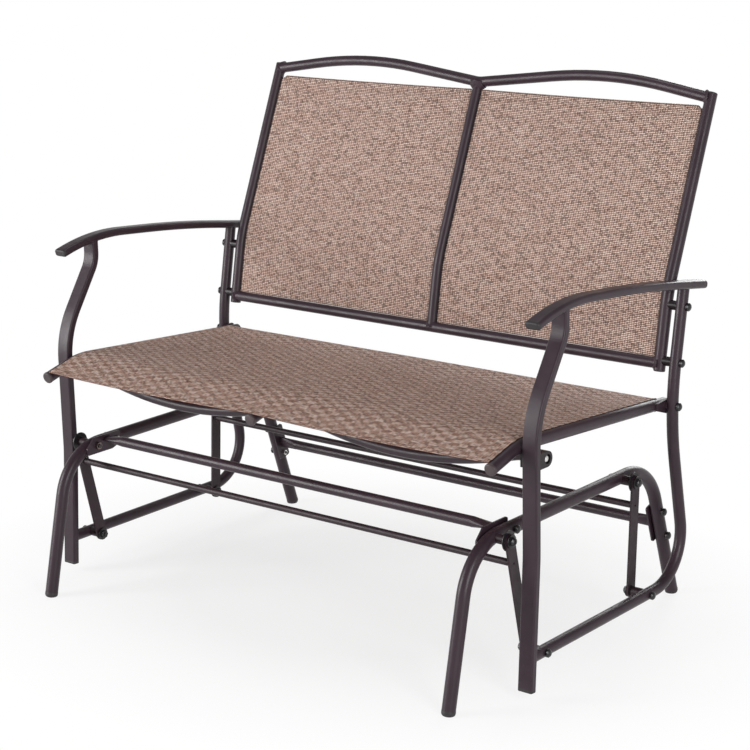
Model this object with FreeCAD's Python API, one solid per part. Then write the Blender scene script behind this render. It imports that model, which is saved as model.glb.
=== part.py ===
# Two-seat glider bench: bent steel tube, woven sling seat and back, hung on four swing links.
# Millimetres. X runs across the bench, Y from front to back, Z up. The origin is on the floor,
# in the middle of the bench's footprint. Left is -X and right is +X.
import FreeCAD, Part
import math
import os

os.makedirs("parts", exist_ok=True)
Vector = FreeCAD.Vector

# Base arches: one bent tube on each side, standing on two rounded foot caps.
arch_x = 490.0
arch_od = 25.0
arch_wall = 1.5
arch_top_z = 284.0
arch_foot_y = 366.0
arch_front_lean = 66.0
arch_rear_lean = 92.0
arch_bend = 110.0
foot_cap_wall = 0.2
foot_cap_height = 9.0
foot_round = 7.0
foot_sink = 2.0

# Cross tubes between the arches, with flattened ends on bolted plates.
cross_od = 20.0
cross_wall = 1.2
cross_front_y = -206.0
cross_front_z = 290.0
cross_rear_height = 156.0
cross_flat_wide = 26.0
cross_flat_thick = 10.0
cross_flat_length = 45.0
plate_thick = 3.5
plate_round = 5.0
plate_margin = 11.0
front_bolt_y = -181.0
front_plate_reach = 28.0
front_plate_slant = 20.0
front_plate_drop = 18.0
front_plate_step = 8.0
front_plate_lip = 3.0
rear_bolt_rise = 26.0
rear_plate_wide = 30.0

# Swing links: flat bars with a flanged bush at each end, joined in pairs by a thin rod.
link_thick = 4.0
link_wide = 25.0
bush_flange = 1.5
bush_flange_od = 20.0
wide_flange_od = 37.0
bush_od = 12.0
run_gap = 0.3
run_fit = 0.05
upper_front_y = -234.0
upper_rear_y = 168.0
lower_front_y = -187.8
lower_rear_y = 155.2
rod_od = 12.7
rod_wall = 1.2
rod_drop = 44.0
rod_vent = 4.0
open_pivot_play = 1.35

# Fasteners.
pivot_bolt = 8.0
small_bolt = 6.0
hole_play = 0.2
washer_thick = 1.5
washer_od = 24.0
spacer_od = 18.0
upper_spacer = 20.0
lower_spacer = 19.4
back_spacer = 10.4
seat_spacer = 1.0
nut_height_ratio = 0.8
nut_width_ratio = 1.65
tip_ratio = 1.05
head_od = 15.5
head_height = 8.0
head_rim = 4.0
insert_length = 9.0
insert_wall = 1.6

# Side frames: flat front leg, armrest, and one round tube for lower rail and rear upright.
rail_od = 22.0
rail_wall = 1.5
rail_z = 74.0
rail_inset = 3.6
rail_corner_y = 295.0
rail_bend = 92.0
upright_knee = (230.4, 407.1)
upright_knee_bend = 500.0
upright_rise = 0.19
leg_wide = 30.0
leg_thick = 15.0
leg_corner = 3.5
leg_wall = 1.5
leg_foot = (-239.0, 24.0)
leg_straight_low = (-223.5, 255.0)
leg_neck_low = (-223.5, 497.0)
leg_neck_high = (-137.0, 630.0)
leg_bends = (400.0, 180.0, 60.0)
leg_cap_height = 6.0
arm_wide = 30.0
arm_thick = 15.0
arm_corner = 6.0
arm_front = (-216.0, 660.0)
arm_crown = (-133.7, 683.9)
arm_middle = (123.9, 662.9)
arm_rear = (323.0, 632.5)
arm_bends = (440.0, 2900.0)
arm_cap = 6.0
arm_cap_round = 4.0
cap_plug = 12.0
cap_fit = 0.1
leg_cap_round = 2.0

# Seat frame: three long tubes, a curved front bar under them and a straight rear bar.
seat_od = 22.0
seat_wall = 1.5
seat_front = (-297.0, 427.0)
seat_crown = (-215.0, 449.0)
seat_back = (252.0, 416.0)
seat_bend = 180.0
seat_cap = 6.0
seat_cap_wall = 0.5
seat_cap_round = 3.0
front_bar_y = -197.0
front_bar_od = 22.0
front_bar_sag = 33.0
front_bar_cope = 2.0
front_bar_dip_bend = 820.0
front_bar_end_bend = 70.0
rear_bar_od = 19.0
rear_bar_y = 222.0
bracket_thick = 3.4
bracket_seat = 1.5
bracket_length = 36.0
bracket_drop = 16.0
bracket_narrow = 13.0
bracket_margin = 12.0
bracket_round = 3.0
lug_height = 28.0
lug_inset = 8.0
lug_bolt = 8.0
lug_bolt_reach = 14.0
lug_recess = 8.5
lug_bore = 8.5

# Backrest frame: round tubes in one bent surface, with a top rail of two bows.
back_od = 22.0
back_wall = 1.5
back_cross_od = 21.0
back_centre_od = 20.0
back_low_z = 480.0
back_knee_z = 619.6
back_top = (414.0, 962.5)
back_bend = 300.0
back_bottom_rise = 12.0
bow_crown_x = 300.0
bow_crown_rise = 38.0
bow_bend = 900.0
bow_dip_bend = 60.0
back_cap = 3.0
back_cap_round = 2.0
back_bolt_rise = (18.0, 122.0)

# Sling fabric.
sling_thick = 1.6
sling_tuck = 8.0
sling_sag = 5.0
sling_gap = 0.1
back_sling_top = 16.0

# Places that follow from the sizes above.
arch_in_x = arch_x - arch_od / 2
arch_out_x = arch_x + arch_od / 2
plate_in_x = arch_in_x - plate_thick
link_in_x = arch_out_x + upper_spacer + run_gap + bush_flange
link_out_x = link_in_x + link_thick
rail_in_x = link_out_x + bush_flange + run_gap + lower_spacer
rail_x = rail_in_x + rail_od / 2
side_x = rail_x + rail_inset
rail_out_x = rail_in_x + rail_od
bracket_x = rail_in_x - seat_spacer - bracket_thick
seat_x = bracket_x - seat_od / 2
back_x = rail_in_x - back_spacer - back_od / 2
lug_in_x = side_x - leg_wide / 2 - lug_inset
lug_out_x = side_x + leg_wide / 2

# How far an arc's middle lies from its square corner, per radius, and a length past any part.
arc_middle = 1 - math.sqrt(0.5)
far = 3000.0

sides = (("left", -1), ("right", 1))
pieces = {}


def point(x, yz):
    return Vector(x, yz[0], yz[1])


def bent_path(corners, bends):
    """A wire of straight runs through the corners, each corner rounded by its bend radius."""
    edges = []
    here = corners[0]
    for before, corner, after, bend in zip(corners, corners[1:], corners[2:], bends):
        back = (before - corner).normalize()
        ahead = (after - corner).normalize()
        half = back.getAngle(ahead) / 2
        reach = bend / math.tan(half)
        first = corner + back * reach
        last = corner + ahead * reach
        middle = corner + (back + ahead).normalize() * (bend / math.sin(half) - bend)
        edges.append(Part.LineSegment(here, first).toShape())
        edges.append(Part.Arc(first, middle, last).toShape())
        here = last
    edges.append(Part.LineSegment(here, corners[-1]).toShape())
    return Part.Wire(edges)


def path_start(path):
    edge = path.OrderedEdges[0]
    return edge.valueAt(edge.FirstParameter), edge.tangentAt(edge.FirstParameter)


def meeting(path, other):
    """The point of a path where another line or path crosses it, as (y, z)."""
    at = path.distToShape(other)[1][0][0]
    return (at.y, at.z)


def above(path, y):
    """The point of a path in the plane X = 0 that lies at y, as (y, z)."""
    return meeting(path, Part.makeLine(Vector(0, y, -far), Vector(0, y, far)))


def round_section(path, radius):
    start, along = path_start(path)
    return Part.Wire([Part.Circle(start, along, radius).toShape()])


def flat_section(path, wide, thick, corner):
    """A rounded rectangle square to the path: wide along X, thick across it."""
    start, along = path_start(path)
    across = Vector(1, 0, 0)
    up = along.cross(across).normalize()
    half_w = wide / 2
    half_t = thick / 2
    inset = corner * arc_middle

    def at(u, v):
        return start + across * u + up * v

    arcs = []
    for sx, sy in ((1, 1), (-1, 1), (-1, -1), (1, -1)):
        flat = at(sx * (half_w - corner), sy * half_t)
        middle = at(sx * (half_w - inset), sy * (half_t - inset))
        upright = at(sx * half_w, sy * (half_t - corner))
        arc = Part.Arc(upright, middle, flat) if sx * sy > 0 else Part.Arc(flat, middle, upright)
        arcs.append(arc)
    loop = []
    for arc, following in zip(arcs, arcs[1:] + arcs[:1]):
        loop.append(arc.toShape())
        loop.append(Part.LineSegment(arc.EndPoint, following.StartPoint).toShape())
    return Part.Wire(loop)


def sweep(path, section):
    return path.makePipeShell([section], True, False)


def spin(outline, centre, axis):
    """The solid of a closed outline turned once round an axis, its faces outwards."""
    solid = Part.Face(outline).revolve(centre, axis, 360)
    return solid if solid.Volume > 0 else solid.reversed()


def round_tube(path, od, wall):
    """The hollow tube and its filled outer form, which neighbours are coped against."""
    outer = sweep(path, round_section(path, od / 2))
    inner = sweep(path, round_section(path, od / 2 - wall))
    return outer.cut(inner), outer


def flat_tube(path, wide, thick, corner, wall):
    outer = sweep(path, flat_section(path, wide, thick, corner))
    inner = sweep(path, flat_section(path, wide - 2 * wall, thick - 2 * wall, corner - wall))
    return outer.cut(inner), outer


def rod_x(x0, x1, yz, radius):
    """A plain cylinder along X from x0 to x1, in either order."""
    return Part.makeCylinder(radius, abs(x1 - x0), point(min(x0, x1), yz), Vector(1, 0, 0))


def ring_x(x0, x1, yz, outer, inner):
    return rod_x(x0, x1, yz, outer).cut(rod_x(x0, x1, yz, inner))


def drilled(shape, x, yz, bolt, depth):
    """A shape with a clearance hole for a bolt along X, from x - depth to x + depth."""
    return shape.cut(rod_x(x - depth, x + depth, yz, bolt / 2 + hole_play))


def hex_nut(x0, side, yz, bolt):
    """A hexagon nut whose seat is at x0 and which grows towards the given side."""
    radius = bolt * nut_width_ratio / math.sqrt(3)
    height = side * bolt * nut_height_ratio
    turns = [math.radians(60 * i) for i in range(7)]
    corners = [Vector(x0, yz[0] + radius * math.cos(a), yz[1] + radius * math.sin(a)) for a in turns]
    body = Part.Face(Part.makePolygon(corners)).extrude(Vector(height, 0, 0))
    return body.cut(rod_x(x0, x0 + height, yz, bolt / 2))


def cap_head(x0, side, yz):
    """A bolt head with a domed cap that sits at x0 and grows towards the given side."""
    radius = head_od / 2
    rise = head_height - head_rim
    dome = (rise ** 2 + radius ** 2) / (2 * rise)
    half = math.asin(radius / dome) / 2

    def at(s, r):
        return Vector(x0 + side * s, yz[0] + r, yz[1])

    outline = Part.Wire([
        Part.LineSegment(at(0, 0), at(0, radius)).toShape(),
        Part.LineSegment(at(0, radius), at(head_rim, radius)).toShape(),
        Part.Arc(at(head_rim, radius),
                 at(head_height - dome + dome * math.cos(half), dome * math.sin(half)),
                 at(head_height, 0)).toShape(),
        Part.LineSegment(at(head_height, 0), at(0, 0)).toShape()])
    return spin(outline, at(0, 0), Vector(1, 0, 0))


def bolt_x(head_x, tip_x, yz, bolt):
    """A domed bolt along X: its head stands outside head_x, and its shank ends at tip_x."""
    side = 1 if head_x > tip_x else -1
    head = cap_head(head_x, side, yz)
    return head.fuse(rod_x(tip_x, head_x, yz, bolt / 2)).removeSplitter()


def nut_tip(seat, side, bolt):
    """Where a bolt's shank ends when its nut stands on seat, away from the given side."""
    return seat - side * bolt * tip_ratio


def round_cap(path, radius, wall, height, edge_round):
    """A moulded cap on a round tube's start: a rounded head outside and a plug in the bore."""
    start, along = path_start(path)
    across = along.cross(Vector(1, 0, 0)).normalize()
    inner = radius - wall - cap_fit
    inset = edge_round * arc_middle

    def at(s, r):
        return start - along * s + across * r

    outline = Part.Wire([
        Part.LineSegment(at(-cap_plug, 0), at(-cap_plug, inner)).toShape(),
        Part.LineSegment(at(-cap_plug, inner), at(0, inner)).toShape(),
        Part.LineSegment(at(0, inner), at(0, radius)).toShape(),
        Part.LineSegment(at(0, radius), at(height - edge_round, radius)).toShape(),
        Part.Arc(at(height - edge_round, radius), at(height - inset, radius - inset),
                 at(height, radius - edge_round)).toShape(),
        Part.LineSegment(at(height, radius - edge_round), at(height, 0)).toShape(),
        Part.LineSegment(at(height, 0), at(-cap_plug, 0)).toShape()])
    return spin(outline, start, along)


def flat_cap(path, wide, thick, corner, wall, height, edge_round):
    """A cap on a flat tube's start: a head of the tube's own outline and a plug in its bore."""
    start, along = path_start(path)
    head = Part.Face(flat_section(path, wide, thick, corner)).extrude(along * -height)
    rim = [e for e in head.Edges
           if all(abs((v.Point - start).dot(along) + height) < cap_fit for v in e.Vertexes)]
    head = head.makeFillet(edge_round, rim)
    gap = wall + cap_fit
    inner = flat_section(path, wide - 2 * gap, thick - 2 * gap, corner - wall)
    return head.fuse(Part.Face(inner).extrude(along * cap_plug))


def plate_x(x0, side, thick, outline, edge_round):
    """A flat plate on the plane X = x0: an outline of (y, z) corners with rounded edges."""
    corners = [point(x0, at) for at in outline]
    face = Part.Face(Part.makePolygon(corners + corners[:1]))
    plate = face.extrude(Vector(side * thick, 0, 0))
    edges = [e for e in plate.Edges if abs(e.tangentAt(e.FirstParameter).x) > 0.5]
    return plate.makeFillet(edge_round, edges)


def group(solids):
    return Part.makeCompound(solids)


# Lines that more than one section needs: the arch, the lower rail and the seat tubes.
def leg_of(foot_y, corner):
    """The unit direction up a leg, from its foot on the floor to its corner."""
    return Vector(0, corner[0] - foot_y, corner[1]).normalize()


arch_corners = ((-arch_foot_y + arch_front_lean, arch_top_z), (arch_foot_y - arch_rear_lean, arch_top_z))
front_lean = leg_of(-arch_foot_y, arch_corners[0])
rear_lean = leg_of(arch_foot_y, arch_corners[1])


def arch_path(x):
    front_foot = Vector(x, -arch_foot_y, 0) + front_lean * foot_cap_height
    rear_foot = Vector(x, arch_foot_y, 0) + rear_lean * foot_cap_height
    tops = [point(x, corner) for corner in arch_corners]
    return bent_path([front_foot] + tops + [rear_foot], [arch_bend, arch_bend])


def on_rear_leg(height):
    return (arch_foot_y + rear_lean.y / rear_lean.z * height, height)


def on_upright(z):
    """The centre of the rear upright's straight upper run at a height."""
    return (upright_knee[0] + upright_rise * (z - upright_knee[1]), z)


arm_corners = [arm_front, arm_crown, arm_middle, arm_rear]
arm_line = bent_path([point(0, at) for at in arm_corners], arm_bends)
rail_top = above(arm_line, on_upright(arm_rear[1])[0])


def rail_path(x):
    corners = [(leg_foot[0], rail_z), (rail_corner_y, rail_z), upright_knee, rail_top]
    return bent_path([point(x, at) for at in corners], [rail_bend, upright_knee_bend])


def seat_path(x, back):
    return bent_path([point(x, seat_front), point(x, seat_crown), point(x, back)], [seat_bend])


arch_line = arch_path(0.0)
seat_line = seat_path(0.0, seat_back)
upper_pivots = {"front": above(arch_line, upper_front_y),
                "rear": (upper_rear_y, above(arch_line, upper_front_y)[1])}
lower_pivots = {"front": (lower_front_y, rail_z), "rear": (lower_rear_y, rail_z)}
front_bolts = [above(arch_line, front_bolt_y)]
rear_bolt_heights = (cross_rear_height + rear_bolt_rise, cross_rear_height - rear_bolt_rise)
rear_bolts = [on_rear_leg(height) for height in rear_bolt_heights]
seat_bolt_at = meeting(rail_path(0.0), seat_line)

# Base arches with their foot caps.
arch_outer = {}
foot_caps = []
for name, side in sides:
    x = side * arch_x
    path = arch_path(x)
    arch, outer = round_tube(path, arch_od, arch_wall)
    arch_outer[name] = outer
    for at in upper_pivots.values():
        arch = drilled(arch, x, at, pivot_bolt, arch_od)
    for at in front_bolts + rear_bolts:
        arch = drilled(arch, x, at, small_bolt, arch_od)
    pieces["base_arch_" + name] = arch
    back_again = [Vector(x, arch_foot_y, 0) + rear_lean * foot_cap_height, point(x, arch_corners[1])]
    for foot_path in (path, bent_path(back_again, [])):
        depth = foot_cap_height + foot_sink
        cap = round_cap(foot_path, arch_od / 2 + foot_cap_wall, arch_wall + foot_cap_wall, depth, foot_round)
        floor = Part.makeBox(far, far, far, Vector(-far / 2, -far / 2, -far))
        foot_caps.append(cap.cut(floor))
pieces["foot_caps"] = group(foot_caps)


# Cross tubes: round in the middle, flattened at both ends, each end welded to a plate.
def oval(x, yz, wide_dir, wide, thick):
    """An ellipse in the plane X = x, its long axis along wide_dir."""
    wire = Part.Wire([Part.Ellipse(Vector(0, 0, 0), wide / 2, thick / 2).toShape()])
    turn = FreeCAD.Rotation(wide_dir, Vector(1, 0, 0).cross(wide_dir), Vector(1, 0, 0), "XYZ")
    wire.Placement = FreeCAD.Placement(point(x, yz), turn)
    return wire


def cross_tube(yz, wide_dir):
    """A hollow round tube whose ends are pressed flat; the pressed ends are closed."""
    round_x = plate_in_x - cross_flat_length
    flat_x = plate_in_x - cross_flat_thick
    body = ring_x(-round_x, round_x, yz, cross_od / 2, cross_od / 2 - cross_wall)
    crimp = cross_od + 2 * cap_fit
    for side in (-1, 1):
        flat_start = oval(side * flat_x, yz, wide_dir, cross_flat_wide, cross_flat_thick)
        taper = [oval(side * round_x, yz, wide_dir, crimp + cap_fit, crimp), flat_start]
        flat = [flat_start, oval(side * plate_in_x, yz, wide_dir, cross_flat_wide, cross_flat_thick)]
        for ovals in (taper, flat):
            body = body.fuse(Part.makeLoft(ovals, True, True))
    return body


plate_front = upper_front_y - front_plate_reach
plate_rear = front_bolt_y + plate_margin
plate_low = arch_top_z - front_plate_drop
plate_high = arch_top_z + arch_od / 2 + front_plate_lip
plate_step_y = cross_front_y + cross_flat_wide / 2
front_outline = [(plate_front, plate_low), (plate_step_y, plate_low),
                 (plate_rear, plate_low + front_plate_step),
                 (plate_rear, plate_high), (plate_front + front_plate_slant, plate_high),
                 (plate_front, plate_high - front_plate_slant)]
rear_outline = []
for height, way in ((rear_bolt_heights[0] + plate_margin, 1), (rear_bolt_heights[1] - plate_margin, -1)):
    middle = on_rear_leg(height)
    for turn in (way, -way):
        rear_outline.append((middle[0] + turn * rear_plate_wide / 2 * rear_lean.z,
                             middle[1] - turn * rear_plate_wide / 2 * rear_lean.y))
cross_bolts = []
cross_nuts = []
cross_ends = (("front", (cross_front_y, cross_front_z), Vector(0, 1, 0), front_outline, front_bolts),
              ("rear", on_rear_leg(cross_rear_height), rear_lean, rear_outline, rear_bolts))
for end, at, wide_dir, outline, bolts in cross_ends:
    tube = cross_tube(at, wide_dir)
    for name, side in sides:
        plate = plate_x(side * plate_in_x, side, plate_thick, outline, plate_round)
        for bolt_at in bolts:
            plate = drilled(plate, side * plate_in_x, bolt_at, small_bolt, arch_od)
            tip = nut_tip(side * plate_in_x, side, small_bolt)
            cross_bolts.append(bolt_x(side * arch_out_x, tip, bolt_at, small_bolt))
            cross_nuts.append(hex_nut(side * plate_in_x, -side, bolt_at, small_bolt))
        if end == "front":
            plate = drilled(plate, side * plate_in_x, upper_pivots[end], pivot_bolt, arch_od)
        tube = tube.fuse(plate)
    pieces["base_cross_tube_" + end] = tube.removeSplitter()
pieces["cross_tube_bolts"] = group(cross_bolts)
pieces["cross_tube_nuts"] = group(cross_nuts)

# Upper pivots: a bolt through each arch and a coped spacer carries a link outside the arch.
upper_bolts = []
upper_nuts = []
upper_spacers = []
upper_washers = []
for name, side in sides:
    spacer_end = side * (link_in_x - bush_flange - run_gap)
    washer_in = side * (link_out_x + bush_flange + run_gap)
    washer_out = washer_in + side * washer_thick
    for end, nut_seat in (("front", side * plate_in_x), ("rear", side * arch_in_x)):
        at = upper_pivots[end]
        spacer = ring_x(side * arch_x, spacer_end, at, spacer_od / 2, pivot_bolt / 2 + hole_play)
        upper_spacers.append(spacer.cut(arch_outer[name]))
        upper_washers.append(ring_x(washer_in, washer_out, at, washer_od / 2, pivot_bolt / 2))
        upper_bolts.append(bolt_x(washer_out, nut_tip(nut_seat, side, pivot_bolt), at, pivot_bolt))
        upper_nuts.append(hex_nut(nut_seat, -side, at, pivot_bolt))
pieces["upper_pivot_spacers"] = group(upper_spacers)
pieces["upper_pivot_washers"] = group(upper_washers)
pieces["upper_pivot_bolts"] = group(upper_bolts)
pieces["upper_pivot_nuts"] = group(upper_nuts)


# Swing links, their bushes and the rods that tie the left and right link of a pair.
def rod_point(end):
    top = point(0, upper_pivots[end])
    low = point(0, lower_pivots[end])
    at = top + (low - top).normalize() * rod_drop
    return (at.y, at.z)


def link_bar(side, end):
    """A flat bar with round ends, bored for its two bushes and for the rod's vent."""
    x0 = side * link_in_x
    top = point(x0, upper_pivots[end])
    low = point(x0, lower_pivots[end])
    along = (low - top).normalize() * (link_wide / 2)
    across = Vector(1, 0, 0).cross(along)
    outline = Part.Wire([
        Part.Arc(top + across, top - along, top - across).toShape(),
        Part.LineSegment(top - across, low - across).toShape(),
        Part.Arc(low - across, low + along, low + across).toShape(),
        Part.LineSegment(low + across, top + across).toShape()])
    bar = Part.Face(outline).extrude(Vector(side * link_thick, 0, 0))
    bores = ((upper_pivots[end], bush_od), (lower_pivots[end], bush_od), (rod_point(end), rod_vent))
    for at, bore in bores:
        bar = bar.cut(rod_x(x0 - side * link_thick, x0 + 2 * side * link_thick, at, bore / 2))
    return bar


def bush(side, at, bore, inner_flange_od):
    """A nylon bush in a link's eye: a sleeve with a flange on both faces of the bar."""
    inner = side * link_in_x
    outer = side * link_out_x
    sleeve = rod_x(inner, outer, at, bush_od / 2)
    flanges = [rod_x(inner - side * bush_flange, inner, at, inner_flange_od / 2),
               rod_x(outer, outer + side * bush_flange, at, bush_flange_od / 2)]
    hole = rod_x(inner - side * link_thick, outer + side * link_thick, at, bore / 2)
    return sleeve.fuse(flanges).cut(hole).removeSplitter()


running_bore = pivot_bolt + 2 * run_fit
low_bores = {"front": running_bore, "rear": pivot_bolt + 2 * open_pivot_play}
for end in ("front", "rear"):
    bushes = []
    for name, side in sides:
        pieces["link_%s_%s" % (end, name)] = link_bar(side, end)
        bushes.append(bush(side, upper_pivots[end], running_bore, wide_flange_od))
        bushes.append(bush(side, lower_pivots[end], low_bores[end], bush_flange_od))
    pieces["link_bushes_" + end] = group(bushes)
    pieces["link_rod_" + end] = ring_x(-link_in_x, link_in_x, rod_point(end), rod_od / 2,
                                       rod_od / 2 - rod_wall)


# Side frames: armrest, front leg and the tube that is lower rail and rear upright.
back_low = on_upright(back_low_z)
back_knee = on_upright(back_knee_z)


def on_back_line(rise):
    """The back rail's centre at a rise above its lower end, on its straight lower run."""
    low = point(0, back_low)
    at = low + (point(0, back_knee) - low).normalize() * rise
    return (at.y, at.z)


back_bolts_at = [on_back_line(rise) for rise in back_bolt_rise]
leg_top = above(arm_line, leg_neck_high[0])
arm_caps = []
leg_caps = []
leg_outer = {}
rail_outer = {}
for name, side in sides:
    x = side * side_x
    corners = [point(x, at) for at in arm_corners]
    arm, arm_outer = flat_tube(bent_path(corners, arm_bends), arm_wide, arm_thick, arm_corner, leg_wall)
    pieces["armrest_" + name] = arm
    for run, bends in ((corners, arm_bends), (corners[::-1], arm_bends[::-1])):
        arm_end = bent_path(run, bends)
        arm_caps.append(flat_cap(arm_end, arm_wide, arm_thick, arm_corner, leg_wall, arm_cap,
                                 arm_cap_round))

    leg_corners = [leg_foot, leg_straight_low, leg_neck_low, leg_neck_high, leg_top]
    leg_path = bent_path([point(x, at) for at in leg_corners], leg_bends)
    leg, leg_outer[name] = flat_tube(leg_path, leg_wide, leg_thick, leg_corner, leg_wall)
    pieces["front_leg_" + name] = leg.cut(arm_outer)
    leg_caps.append(flat_cap(leg_path, leg_wide, leg_thick, leg_corner, leg_wall, leg_cap_height,
                             leg_cap_round))

    x = side * rail_x
    rail, rail_outer[name] = round_tube(rail_path(x), rail_od, rail_wall)
    rail = rail.cut(leg_outer[name]).cut(arm_outer)
    for at in lower_pivots.values():
        rail = drilled(rail, x, at, pivot_bolt, rail_od)
    for at in [seat_bolt_at] + back_bolts_at:
        rail = drilled(rail, x, at, small_bolt, rail_od)
    pieces["rear_rail_" + name] = rail
pieces["armrest_caps"] = group(arm_caps)
pieces["front_leg_caps"] = group(leg_caps)

# Lower pivots: bolts that cross the lower rail and a spacer, and carry the links' lower eyes.
lower_bolts = []
lower_nuts = []
lower_spacers = []
lower_washers = []
for name, side in sides:
    spacer_in = side * (link_out_x + bush_flange + run_gap)
    washer_out = side * (link_in_x - bush_flange - run_gap)
    washer_in = washer_out - side * washer_thick
    for at in lower_pivots.values():
        spacer = ring_x(spacer_in, side * rail_x, at, spacer_od / 2, pivot_bolt / 2 + hole_play)
        lower_spacers.append(spacer.cut(rail_outer[name]))
        lower_washers.append(ring_x(washer_in, washer_out, at, washer_od / 2, pivot_bolt / 2))
        tip = nut_tip(washer_in, side, pivot_bolt)
        lower_bolts.append(bolt_x(side * rail_out_x, tip, at, pivot_bolt))
        lower_nuts.append(hex_nut(washer_in, -side, at, pivot_bolt))
pieces["lower_pivot_spacers"] = group(lower_spacers)
pieces["lower_pivot_washers"] = group(lower_washers)
pieces["lower_pivot_bolts"] = group(lower_bolts)
pieces["lower_pivot_nuts"] = group(lower_nuts)

# Seat frame: the long tubes. The middle one ends on the rear bar between the outer two.
rear_bar_at = above(seat_line, rear_bar_y)
rear_bar_outer = rod_x(-seat_x, seat_x, rear_bar_at, rear_bar_od / 2)
rear_bar = rear_bar_outer.cut(rod_x(-seat_x, seat_x, rear_bar_at, rear_bar_od / 2 - seat_wall))
seat_outer = {}
seat_caps = []
for name, x, back in (("left", -seat_x, seat_back), ("centre", 0.0, rear_bar_at), ("right", seat_x, seat_back)):
    path = seat_path(x, back)
    tube, seat_outer[name] = round_tube(path, seat_od, seat_wall)
    if name == "centre":
        tube = tube.cut(rear_bar_outer)
    else:
        rear_bar = rear_bar.cut(seat_outer[name])
        tube = drilled(tube, x, seat_bolt_at, small_bolt, seat_od)
    pieces["seat_tube_" + name] = tube
    seat_caps.append(round_cap(path, seat_od / 2 + seat_cap_wall, seat_wall + seat_cap_wall, seat_cap,
                               seat_cap_round))
pieces["seat_tube_caps"] = group(seat_caps)
pieces["seat_rear_bar"] = rear_bar

# The front bar dips twice under the seat tubes and ends on a lug behind each front leg.
bar_z = above(seat_line, front_bar_y)[1] - seat_od / 2 - front_bar_od / 2 + front_bar_cope
dip_z = bar_z - 2 * front_bar_sag
dip_start = seat_x - seat_od / 2
dip_slope = math.atan2(bar_z - dip_z, seat_x / 2)
peak_z = bar_z + front_bar_end_bend * (1 / math.cos(dip_slope) - 1)
half_bar = [(lug_in_x, bar_z), (dip_start, bar_z), (seat_x / 2, dip_z)]
bar_corners = [(-x, z) for x, z in half_bar] + [(0.0, peak_z)] + half_bar[::-1]
bar_bends = [front_bar_end_bend, front_bar_dip_bend] * 2 + [front_bar_end_bend]
bar_path = bent_path([Vector(x, front_bar_y, z) for x, z in bar_corners], bar_bends)
front_bar = round_tube(bar_path, front_bar_od, seat_wall)[0]
for outer in seat_outer.values():
    front_bar = front_bar.cut(outer)
pieces["seat_front_bar"] = front_bar

lug_at = (front_bar_y, bar_z)
lug_bolts = []
for name, side in sides:
    inner = side * lug_in_x
    outer = side * lug_out_x
    web = Part.makeBox(lug_out_x - lug_in_x, front_bar_y - leg_neck_low[0], lug_height,
                       Vector(min(inner, outer), leg_neck_low[0], bar_z - lug_height / 2))
    lug = rod_x(inner, outer, lug_at, lug_height / 2).fuse(web).removeSplitter()
    lug = lug.cut(leg_outer[name]).cut(seat_outer[name])
    lug = drilled(lug, inner, lug_at, lug_bolt, lug_out_x - lug_in_x)
    recess_end = outer - side * lug_recess
    pieces["leg_lug_" + name] = lug.cut(rod_x(recess_end, outer, lug_at, lug_bore))
    lug_bolts.append(bolt_x(recess_end, inner - side * lug_bolt_reach, lug_at, lug_bolt))
pieces["lug_bolts"] = group(lug_bolts)

# Seat brackets: a plate on the end of each outer seat tube, bolted to the rear upright.
near = above(seat_line, seat_bolt_at[0] - bracket_length)
bracket_outline = [(near[0], near[1] - bracket_narrow / 2), (seat_bolt_at[0], seat_bolt_at[1] - bracket_drop),
                   (seat_bolt_at[0] + bracket_margin, seat_bolt_at[1] - bracket_drop),
                   (seat_bolt_at[0] + bracket_margin, seat_bolt_at[1] + bracket_margin),
                   (near[0], near[1] + bracket_narrow / 2)]
bracket_bolts = []
bracket_nuts = []
bracket_spacers = []
for name, side in sides:
    inner = side * (bracket_x - bracket_seat)
    outer = side * (bracket_x + bracket_thick)
    plate = plate_x(inner, side, bracket_thick + bracket_seat, bracket_outline, bracket_round)
    pieces["seat_bracket_" + name] = drilled(plate.cut(seat_outer[name]), inner, seat_bolt_at, small_bolt,
                                             seat_od)
    spacer = ring_x(outer, side * rail_x, seat_bolt_at, spacer_od / 2, small_bolt / 2 + hole_play)
    bracket_spacers.append(spacer.cut(rail_outer[name]))
    nut_seat = side * (seat_x - seat_od / 2)
    tip = nut_tip(nut_seat, side, small_bolt)
    bracket_bolts.append(bolt_x(side * rail_out_x, tip, seat_bolt_at, small_bolt))
    bracket_nuts.append(hex_nut(nut_seat, -side, seat_bolt_at, small_bolt))
pieces["seat_bracket_spacers"] = group(bracket_spacers)
pieces["seat_bracket_bolts"] = group(bracket_bolts)
pieces["seat_bracket_nuts"] = group(bracket_nuts)


# Backrest frame: all its tubes lie in the bent surface of the side rails.
def back_point(x, along):
    """A point of the upper back, at a distance along it from the top corner (down is minus)."""
    top = point(x, back_top)
    return top + (top - point(x, back_knee)).normalize() * along


def back_path(x, low, above_top):
    return bent_path([point(x, low), point(x, back_knee), back_point(x, above_top)], [back_bend])


back_outer = {}
back_caps = []
insert_od = small_bolt + 2 * insert_wall
back_out_x = back_x + back_od / 2
back_rail_top = back_cross_od / 2 - back_cap
for name, side in sides:
    x = side * back_x
    path = back_path(x, back_low, back_rail_top)
    rail = round_tube(path, back_od, back_wall)[0]
    past_caps = back_path(x, on_back_line(-back_cap), back_od)
    back_outer[name] = sweep(past_caps, round_section(past_caps, back_od / 2))
    for at in back_bolts_at:
        rail = rail.cut(rod_x(x, side * (back_out_x + insert_length), at, insert_od / 2))
    pieces["back_side_rail_" + name] = rail
    from_top = bent_path([back_point(x, back_rail_top), point(x, back_knee)], [])
    for end_path in (path, from_top):
        back_caps.append(round_cap(end_path, back_od / 2, back_wall, back_cap, back_cap_round))
pieces["back_rail_caps"] = group(back_caps)

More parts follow.
